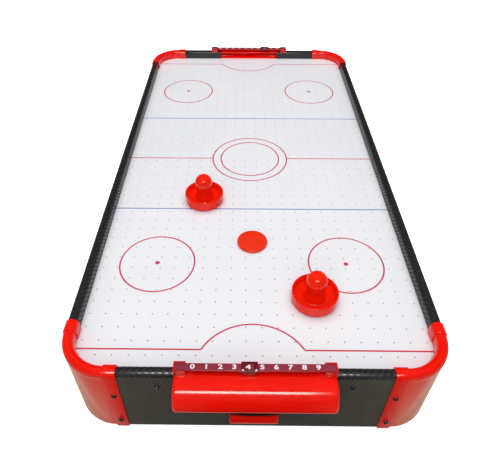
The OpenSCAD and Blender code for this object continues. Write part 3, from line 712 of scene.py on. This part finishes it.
def hood_inside(name):
    """Wall below the mouth and ramps to the slot, cut to the hood's inner shape."""
    wall = prism(rectangle(0, HOOD_WALL, HOOD_BOTTOM, -0.5 * MM), -HOOD_W, HOOD_W, face)
    solid = build(name, wall)
    front = [(SLOT_OUT, HOOD_BOTTOM), (HOOD_OUT, HOOD_BOTTOM), (HOOD_OUT, FLOOR_HIGH),
             (SLOT_OUT, SLOT_EDGE)]
    reach = TRAY_W + 0.1 * MM
    combine(solid, build("front", prism(front, -reach, reach, face)), "UNION")
    for place in (KEEP, MIRROR_X):
        combine(solid, ramp(place), "UNION")
    limit = hood_solid("limit", HOOD_W - HOOD_WALL / 2, HOOD_WALL / 2, 1 * MM)
    combine(solid, limit, "INTERSECT")
    return solid


def hood_saddle():
    """Web that carries the hood's top back over the end rail, between the mouth and a clip."""
    top, front = HOOD_TOP - 0.05 * MM, 0.3 * MM
    under = arc(DOME_R - RAIL_W, DOME_V, DOME_R + 0.15 * MM, 95, 8, 16)
    crest = (DOME_R - RAIL_W - 0.65 * MM, DOME_V + DOME_R + 1 * MM)
    section = under + [(front, under[-1][1]), (front, top), crest]
    return loft([[face(x, u, v) for u, v in section] for x in (MOUTH - MM, CLIP_X - CLIP_W - SEAT)])


def hood(end, place):
    """Goal hood: a hollow shell with lintel, sill, webs over the rail and a slot to the tray."""
    shell = hood_solid(f"goal_hood_{end}_shell", HOOD_W, 0, 4.5 * MM)
    combine(shell, hood_solid("cavity", HOOD_W - HOOD_WALL, HOOD_WALL, 2 * MM, 1 * MM), "DIFFERENCE")
    combine(shell, hood_inside("inside"), "UNION")
    mouth = MOUTH - SEAT
    lintel = rectangle(-RAIL_W, HOOD_WALL, HOOD_TOP - 3 * MM, HOOD_TOP)
    sill = rectangle(-PANEL_T, HOOD_WALL, -4 * MM, -0.5 * MM)
    for outline in (lintel, sill):
        combine(shell, build("plate", prism(outline, -mouth, mouth, face, 0.6 * MM)), "UNION")
    for place_x in (KEEP, MIRROR_X):
        combine(shell, build("saddle", hood_saddle(), place_x), "UNION")
    slot = prism(rectangle(HOOD_WALL, SLOT_OUT, HOOD_BOTTOM - 1 * MM, HOOD_BOTTOM + 6 * MM),
                 1 * MM - TRAY_W, TRAY_W - 1 * MM, face, 0.5 * MM)
    combine(shell, build("slot", slot), "DIFFERENCE")
    shell.data.transform(place)
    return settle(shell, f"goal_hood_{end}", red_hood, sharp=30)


def tray_front():
    """Outside of the tray's front block, its face drawn in along the foot."""
    side = 0.6 * MM                                     # rounding of the face's upright edges
    foot = ((0, 5.2), (0.15, 4.5), (1.2, 0.3), (1.5, 0), (12, 0))
    made = []
    for depth, rise in foot:                            # millimetres in from the face and up
        half = TRAY_W - max(side - depth * MM, 0)
        low = TRAY_BOTTOM + rise * MM
        outline = [(-half, low), (half, low), (half, TRAY_RIM), (-half, TRAY_RIM)]
        made.append([face(x, TRAY_OUT - depth * MM, v) for x, v in fillet(outline, 2.5 * MM, 6)])
    return build("front", loft(made))


def tray(end, place):
    """Puck tray: a pocket behind the end panel whose front block has a finger scoop in its rim."""
    wall = 2.5 * MM
    inner = TRAY_W - wall
    box = rectangle(-TRAY_IN, 0, TRAY_BOTTOM, TRAY_TOP)
    shell = build(f"puck_tray_{end}_shell", prism(box, -TRAY_W, TRAY_W, face, 0.8 * MM))
    combine(shell, tray_front(), "UNION")
    pocket = [(-TRAY_IN + wall, TRAY_BOTTOM + 8 * MM), (0, TRAY_BOTTOM + wall),
              (TRAY_OUT - 5 * MM, TRAY_BOTTOM + wall), (TRAY_OUT - wall - 1 * MM, TRAY_BOTTOM + 5 * MM),
              (TRAY_OUT - wall - 1 * MM, TRAY_RIM + 5 * MM), (0.01 * MM, TRAY_RIM + 5 * MM),
              (0.01 * MM, TRAY_TOP - wall), (-12 * MM, TRAY_TOP - wall),
              (-TRAY_IN + wall, TRAY_TOP - 20 * MM)]
    combine(shell, build("pocket", prism(pocket, -inner, inner, face, 1 * MM)), "DIFFERENCE")
    scoop_r, scoop_v = 130 * MM, -62.3 * MM
    circle = arc(0, scoop_v + scoop_r, scoop_r, 0, 357.5, 143)
    scoop = [[face(x, u, v) for x, v in circle] for u in (0.02 * MM, TRAY_OUT + 2 * MM)]
    combine(shell, build("scoop", loft(scoop)), "DIFFERENCE")
    shell.data.transform(place)
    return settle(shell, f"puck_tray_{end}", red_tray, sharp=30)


# ---------------------------------------------------------------- score bars, clips and markers
def clips(end, place):
    """Cups that hold the bar's ends over the rail, open above the bar."""
    x0 = CLIP_X - CLIP_W
    block = rectangle(CLIP_U[0], CLIP_U[1], CLIP_V[0], CLIP_V[1])
    cup = build("cup", prism(block, x0, CLIP_X, near, 0.8 * MM, 0.7 * MM))
    room = rectangle(BAR_U[0], BAR_U[1], BAR_V[0], CLIP_V[1] + 1 * MM)
    combine(cup, build("room", prism(room, x0 - 1 * MM, BAR_X + 0.1 * MM, near, 0.1 * MM)), "DIFFERENCE")
    dome = [[near(x, u, v) for u, v in arc(DOME_R, DOME_V, DOME_R + SEAT / 2, 0, 355, 71)]
            for x in (x0 - 1 * MM, CLIP_X + 1 * MM)]
    combine(cup, build("dome", loft(dome)), "DIFFERENCE")
    made = gather(f"bar_clips_{end}_cups", [cup], (place, place @ MIRROR_X))
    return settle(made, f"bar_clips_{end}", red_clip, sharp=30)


def digits(end, place):
    """Raised figures 0 to 9 on the bar, read from the player's side."""
    stretch = Matrix.Diagonal((1.2, 0.88, 1, 1))        # the figures are wide and low
    made = []
    for k in range(10):
        text = bpy.data.curves.new(f"digit_{k}", "FONT")
        text.body = str(k)
        text.size = 10 * MM
        text.align_x = "CENTER"
        text.align_y = "CENTER"
        text.offset = 0.3 * MM
        text.fill_mode = "BOTH"
        text.extrude = 0.02 * MM
        text.resolution_u = 4
        carrier = bpy.data.objects.new(f"digit_{k}", text)
        bpy.context.scene.collection.objects.link(carrier)
        graph = bpy.context.evaluated_depsgraph_get()
        mesh = bpy.data.meshes.new_from_object(carrier.evaluated_get(graph))
        bpy.data.objects.remove(carrier)
        middle = near((k - 4.5) * SCORE_PITCH, sum(STRIP_U) / 2, BAR_V[1] + 0.01 * MM)
        mesh.transform(Matrix.Translation(middle) @ stretch)
        solid = bpy.data.objects.new(f"digit_{k}", mesh)
        bpy.context.scene.collection.objects.link(solid)
        made.append(solid)
    figures = gather(f"score_digits_{end}", made, (place,))
    figures.data.shade_smooth()
    figures.data.set_sharp_from_angle(angle=math.radians(30))
    figures.data.materials.clear()
    figures.data.materials.append(digit_white)
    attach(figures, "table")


def score_bar(end, place):
    """The strip that carries the figures, level with the top of the CAD bar."""
    outline = rectangle(*STRIP_U, BAR_V[1] - STRIP_T, BAR_V[1])
    made = build(f"score_bar_{end}_strip", prism(outline, -BAR_X, BAR_X, near, 0.5 * MM), place)
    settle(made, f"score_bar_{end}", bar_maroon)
    digits(end, place)


def pointers(end, x, half, u, top):
    """Two raised white triangles that point at the score from the marker's front corners."""
    made = []
    for side in (-1, 1):
        foot = x + side * (half - 0.8 * MM)
        points = [(foot, u), (foot - side * 3.6 * MM, u), (foot - side * 0.9 * MM, u - 2.6 * MM)]
        rings = [[near(p, q, v) for p, q in points] for v in (top - 0.4 * MM, top + 0.02 * MM)]
        made.append(build("pointer", loft(rings)))
    marks = gather(f"score_marker_{end}_pointers", made, (ENDS[end],))
    marks.data.materials.clear()
    marks.data.materials.append(digit_white)
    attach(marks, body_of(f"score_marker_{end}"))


def marker(end):
    """Sleeve round the bar with a window over the score, bevelled on all four sides."""
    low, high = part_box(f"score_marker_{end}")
    x = (low.x + high.x) / 2
    if end == "far":
        x = -x
    half = (high.x - low.x) / 2
    grow, gap = 1.8 * MM, 0.3 * MM
    under, top = BAR_V[1] - STRIP_T, BAR_V[1] + grow
    outer = rectangle(STRIP_U[0] - grow, STRIP_U[1] + grow, under - grow, top)
    round_it = prism(outer, x - half, x + half, near, 0.6 * MM, 0.5 * MM)
    sleeve = build(f"score_marker_{end}_sleeve", round_it)
    tab_half = 6.5 * MM
    tab = rectangle(STRIP_U[1], STRIP_U[1] + grow, BAR_V[0] - grow, BAR_V[1])
    combine(sleeve, build("tab", prism(tab, x - tab_half, x + tab_half, near, 0.5 * MM)), "UNION")
    bore = rectangle(STRIP_U[0] - gap, STRIP_U[1] + gap, under - gap, BAR_V[1] + gap)
    combine(sleeve, build("bore", prism(bore, x - half - MM, x + half + MM, near, 0.1 * MM)), "DIFFERENCE")
    window, bevel = (5.5 * MM, 3.6 * MM), 1.2 * MM
    mid_u = sum(STRIP_U) / 2
    rings = []
    for v, extra in ((BAR_V[1], 0), (BAR_V[1] + gap, 0), (top + 0.2 * MM, bevel + 0.15 * MM)):
        a, b = window[0] + extra, window[1] + extra
        rings.append([near(x + p, mid_u + q, v) for p, q in ((-a, -b), (a, -b), (a, b), (-a, b))])
    combine(sleeve, build("window", loft(rings)), "DIFFERENCE")
    pointers(end, x, half, STRIP_U[1] + 1.2 * MM, top)
    sleeve.data.transform(ENDS[end])
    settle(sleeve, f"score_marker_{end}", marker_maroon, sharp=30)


# ---------------------------------------------------------------- mallets and puck
def mallet_profile(radius, height):
    """Half section of a mallet from its underside over the rim and the dish to the knob."""
    felt, rim, lip, knob = 1.2 * MM, 19 * MM, 1.3 * MM, 15.4 * MM
    knob_z = height - knob
    profile = [(0, felt), (radius - 1.2 * MM, felt)]
    profile += arc(radius - 1.2 * MM, felt + 1.2 * MM, 1.2 * MM, -90, 0, 5)
    profile += arc(radius - lip, rim - lip, lip, 0, 180, 12)
    profile += arc(radius - 2 * lip - 3 * MM, 9 * MM, 3 * MM, 0, -90, 8)
    profile += arc(19 * MM, 9 * MM, 3 * MM, -90, -170, 8)
    profile += arc(35 * MM, 21 * MM, 21.4 * MM, 205, 180, 10)
    skirt, under_r = 4.5 * MM, 1.6 * MM
    profile += arc(knob - under_r, knob_z - skirt, under_r, -80, 0, 6)
    profile += arc(0, knob_z, knob, 0, 90, 28)
    profile[-1] = (0, height)
    return profile


def mallet(side):
    """One mallet with the felt ring under it."""
    node = f"mallet_{side}"
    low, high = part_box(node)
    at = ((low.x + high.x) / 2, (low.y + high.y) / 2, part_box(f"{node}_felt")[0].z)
    radius = (high.x - low.x) / 2
    body = build(f"{node}_body", lathe(mallet_profile(radius, high.z - at[2]), at, 128))
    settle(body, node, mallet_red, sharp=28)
    outer, inner, thick, edge = radius - 3 * MM, 14 * MM, 1.2 * MM, 0.4 * MM
    ring = [(inner, 0), (outer - edge, 0), (outer, edge), (outer, thick), (inner, thick), (inner, 0)]
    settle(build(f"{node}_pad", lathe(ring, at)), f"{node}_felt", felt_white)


def puck():
    """The puck, with two round grooves in its top."""
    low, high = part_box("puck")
    at = ((low.x + high.x) / 2, (low.y + high.y) / 2, low.z)
    radius, thick, edge = (high.x - low.x) / 2, high.z - low.z, 1 * MM
    profile = [(0, 0)] + arc(radius - edge, edge, edge, -90, 0, 6)
    profile += arc(radius - edge, thick - edge, edge, 0, 90, 6)
    groove = 0.45 * MM
    for r in (12 * MM, 6 * MM):
        profile += [(r + 1.1 * MM, thick), (r + 0.4 * MM, thick - groove),
                    (r - 0.4 * MM, thick - groove), (r - 1.1 * MM, thick)]
    profile.append((0, thick))
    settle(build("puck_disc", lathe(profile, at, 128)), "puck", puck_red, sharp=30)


# ---------------------------------------------------------------- screws and feet
def screw_head(head_r, head_h, shank):
    """Pan head with a cross recess, its underside at the origin and its shank along -Z."""
    core = 1.5 * MM
    profile = [(0, -shank), (core, core - shank), (core, 0), (head_r, 0), (head_r, 0.3 * head_h)]
    profile += [(head_r * math.cos(a), head_h * (0.3 + 0.7 * math.sin(a)))
                for a in (math.radians(d) for d in (15, 30, 45, 60, 75))]
    profile.append((0, head_h))
    head = build("screw", lathe(profile, segments=32))
    for slot in ((0.55 * head_r, 0.45 * MM), (0.45 * MM, 0.55 * head_r)):
        rings = []
        for z, size in ((head_h - 1.2 * MM, 0.6), (head_h + 0.2 * MM, 1.05)):
            a, b = slot[0] * size, slot[1] * size
            rings.append([(-a, -b, z), (a, -b, z), (a, b, z), (-a, b, z)])
        combine(head, build("recess", loft(rings)), "DIFFERENCE")
    return head


def facing_end(x, v, proud):
    """Place of a screw that points into the near end panel."""
    return Matrix.Translation(near(x, RAIL_W + proud, v)) @ Matrix.Rotation(math.pi / 2, 4, "X")


def facing_side(y, v, proud):
    """Place of a screw that points into the left side panel."""
    return Matrix.Translation(left(y, RAIL_W + proud, v)) @ Matrix.Rotation(-math.pi / 2, 4, "Y")


def screws():
    """Rows of visible screws: in the corner flaps, the end panels and the side panels."""
    head_r, head_h, shank = 3.7 * MM, 2.4 * MM, 12 * MM
    flap_v = (-31 * MM, -96 * MM)
    panel_v = -8 * MM
    end_x = 126.5 * MM
    side_y = (-330 * MM, -110 * MM, 110 * MM, 330 * MM)
    flap_x = -(XO - CORNER_R - COLLAR_W / 2)
    flap_y = -(YO - CORNER_R - COLLAR_W / 2)
    flap = [facing_end(flap_x, v, COLLAR_T) for v in flap_v]
    flap += [facing_side(flap_y, v, COLLAR_T) for v in flap_v]
    rows = {
        "corner_screws": [c @ p for c in CORNERS.values() for p in flap],
        "end_panel_screws": [c @ facing_end(end_x, panel_v, 0) for c in CORNERS.values()],
        "side_panel_screws": [c @ facing_side(y, panel_v, 0) for c in (KEEP, MIRROR_X) for y in side_y],
    }
    for node, places in rows.items():
        made = gather(f"{node}_heads", [screw_head(head_r, head_h, shank)], places)
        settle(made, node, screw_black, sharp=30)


def feet():
    """Six rubber feet, three along each side."""
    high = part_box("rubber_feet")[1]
    r, top = 13 * MM, high.z
    x, y = high.x - r, high.y - r
    profile = [(0, 0), (r - 3 * MM, 0)] + arc(r - 3 * MM, 2 * MM, 2 * MM, -90, -20, 5)
    profile += [(r, top), (0, top)]
    foot = build("foot", lathe(profile, segments=48))
    places = [Matrix.Translation((sx * x, sy * y, 0)) for sx in (-1, 1) for sy in (-1, 0, 1)]
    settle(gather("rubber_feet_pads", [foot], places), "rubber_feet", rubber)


# ---------------------------------------------------------------- carried-over CAD nodes
CARRIED = {
    "playfield": rink, "bottom_panel": hardboard, "field_cleats": timber, "bottom_cleats": timber,
    "field_ribs": timber, "side_panel_left": panel_side, "side_panel_right": panel_side,
    "end_panel_near": panel_end, "end_panel_far": panel_end, "fan_housing": black_plastic,
    "fan_motor": steel, "fan_shaft": steel, "fan_impeller": black_plastic, "fan_grille": black_plastic,
    "power_inlet": black_plastic, "inlet_pin": steel, "switch_housing": black_plastic,
    "switch_rocker": switch_red, "wire_harness": black_plastic, "bottom_screws": steel,
    "hood_screws": steel, "fan_screws": steel,
}


def carry():
    """Gives the CAD nodes that stay their new materials."""
    for node, material in CARRIED.items():
        mesh = frame["nodes"][node].data
        mesh.materials.clear()
        mesh.materials.append(material)


# ---------------------------------------------------------------- light, floor and camera
def softbox(name, place, target, size, power, glossy):
    """A soft lamp that either lights the diffuse surfaces or shows in the glossy ones."""
    lamp = bpy.data.lights.new(name, "AREA")
    lamp.shape = "RECTANGLE"
    lamp.size, lamp.size_y = size
    lamp.energy = power
    lamp.color = (1.0, 0.97, 0.86) if glossy else (1, 1, 1)
    made = bpy.data.objects.new(name, lamp)
    bpy.context.scene.collection.objects.link(made)
    made.location = place
    made.rotation_euler = (Vector(target) - Vector(place)).to_track_quat("-Z", "Y").to_euler()
    made.visible_glossy = glossy
    made.visible_diffuse = not glossy


def room_light(nodes, links):
    """What glossy surfaces see of the room: the lit paper under the table and two side cards."""
    def wired(kind, inputs, operation=None):
        made = nodes.new("ShaderNode" + kind)
        if operation:
            made.operation = operation
        for key, value in inputs.items():
            if isinstance(value, bpy.types.NodeSocket):
                links.new(value, made.inputs[key])
            else:
                made.inputs[key].default_value = value
        return made.outputs

    def ranged(value, low, high, to_low, to_high):
        return wired("MapRange", {0: value, 1: low, 2: high, 3: to_low, 4: to_high})[0]

    paper, card, axis = 0.62, 0.50, 0.03                # strengths, and the cards' middle in X
    away = wired("SeparateXYZ", {0: wired("TexCoord", {})["Generated"]})
    under = ranged(away[1], -0.15, 0.05, 0.0, paper)
    below = wired("Math", {0: under, 1: ranged(away[2], -0.6, -0.3, 1.0, 0.0)}, "MULTIPLY")[0]
    offset = wired("Math", {0: away[0], 1: axis}, "SUBTRACT")[0]
    aside = ranged(wired("Math", {0: offset}, "ABSOLUTE")[0], 0.13, 0.34, 0.0, card)
    low = ranged(away[2], -0.1, 0.15, 1.0, 0.25)
    cards = wired("Math", {0: aside, 1: low}, "MULTIPLY")[0]
    return wired("Math", {0: below, 1: cards}, "MAXIMUM")[0]


def studio():
    """Even light from above and the front, one softbox for highlights, and a white room."""
    aim = (0, 0, FIELD)
    near_end = (0, -0.5, FIELD)
    softbox("top_light", (0, 0.12, FIELD + 2.2), aim, (2.4, 2.4), TOP_POWER, glossy=False)
    softbox("front_light", (-0.2, -1.9, FIELD + 0.9), aim, (1.6, 1.0), FRONT_POWER, glossy=False)
    softbox("front_softbox", (-0.05, -1.55, FIELD + 1.35), near_end, (1.05, 0.5), SOFTBOX_POWER,
            glossy=True)
    world = bpy.data.worlds.new("room")
    bpy.context.scene.world = world
    world.use_nodes = True
    nodes, links = world.node_tree.nodes, world.node_tree.links
    world.cycles.sampling_method = "NONE"
    room = nodes["Background"]
    room.inputs["Color"].default_value = ROOM_TINT + (1,)
    seen = nodes.new("ShaderNodeLightPath").outputs
    links.new(room_light(nodes, links), room.inputs["Strength"])
    for ray, strength in (("Is Diffuse Ray", ROOM_FILL), ("Is Camera Ray", BACKDROP)):
        plain = nodes.new("ShaderNodeBackground")
        plain.inputs["Strength"].default_value = strength
        either = nodes.new("ShaderNodeMixShader")
        links.new(seen[ray], either.inputs[0])
        links.new(room.outputs[0], either.inputs[1])
        links.new(plain.outputs[0], either.inputs[2])
        room = either
    links.new(room.outputs[0], nodes["World Output"].inputs[0])


def floor():
    """White paper under the table, left out of reflections so that it doesn't wash out the reds."""
    half, thick = 6.0, 0.01
    square = ((-half, -half), (half, -half), (half, half), (-half, half))
    slab = [[(x, y, z) for x, y in square] for z in (-thick, 0)]
    made = build("floor", loft(slab))
    s = Shader("floor_paper")
    tone = s.mix(s.noise(3, 3), colour(0.92, 0.92, 0.92), colour(0.90, 0.90, 0.90))
    made.data.materials.append(s.finish(Base_Color=tone, Roughness=0.9, Emission_Color=colour(1, 1, 1),
                                        Emission_Strength=0.8))
    made.visible_glossy = False
    made.visible_diffuse = False


def camera():
    """The camera stands over the near end and looks down along the table."""
    lens = bpy.data.cameras.new("camera")
    lens.lens = 34.75
    lens.sensor_width = 36
    lens.shift_x = 0.0261
    lens.shift_y = -0.0155
    made = bpy.data.objects.new("camera", lens)
    bpy.context.scene.collection.objects.link(made)
    made.location = (-0.0198, -0.8238, FIELD + 0.5694)
    made.rotation_euler = (math.radians(48.41), 0, math.radians(0.58))
    bpy.context.scene.camera = made


camera()
studio()
floor()
carry()
for corner_name, corner_place in CORNERS.items():
    corner(corner_name, corner_place)
rails()
for end_name, end_place in ENDS.items():
    hood(end_name, end_place)
    tray(end_name, end_place)
    clips(end_name, end_place)
    score_bar(end_name, end_place)
    marker(end_name)
for mallet_side in ("left", "right"):
    mallet(mallet_side)
puck()
screws()
feet()
bpy.context.scene.view_settings.view_transform = "Standard"
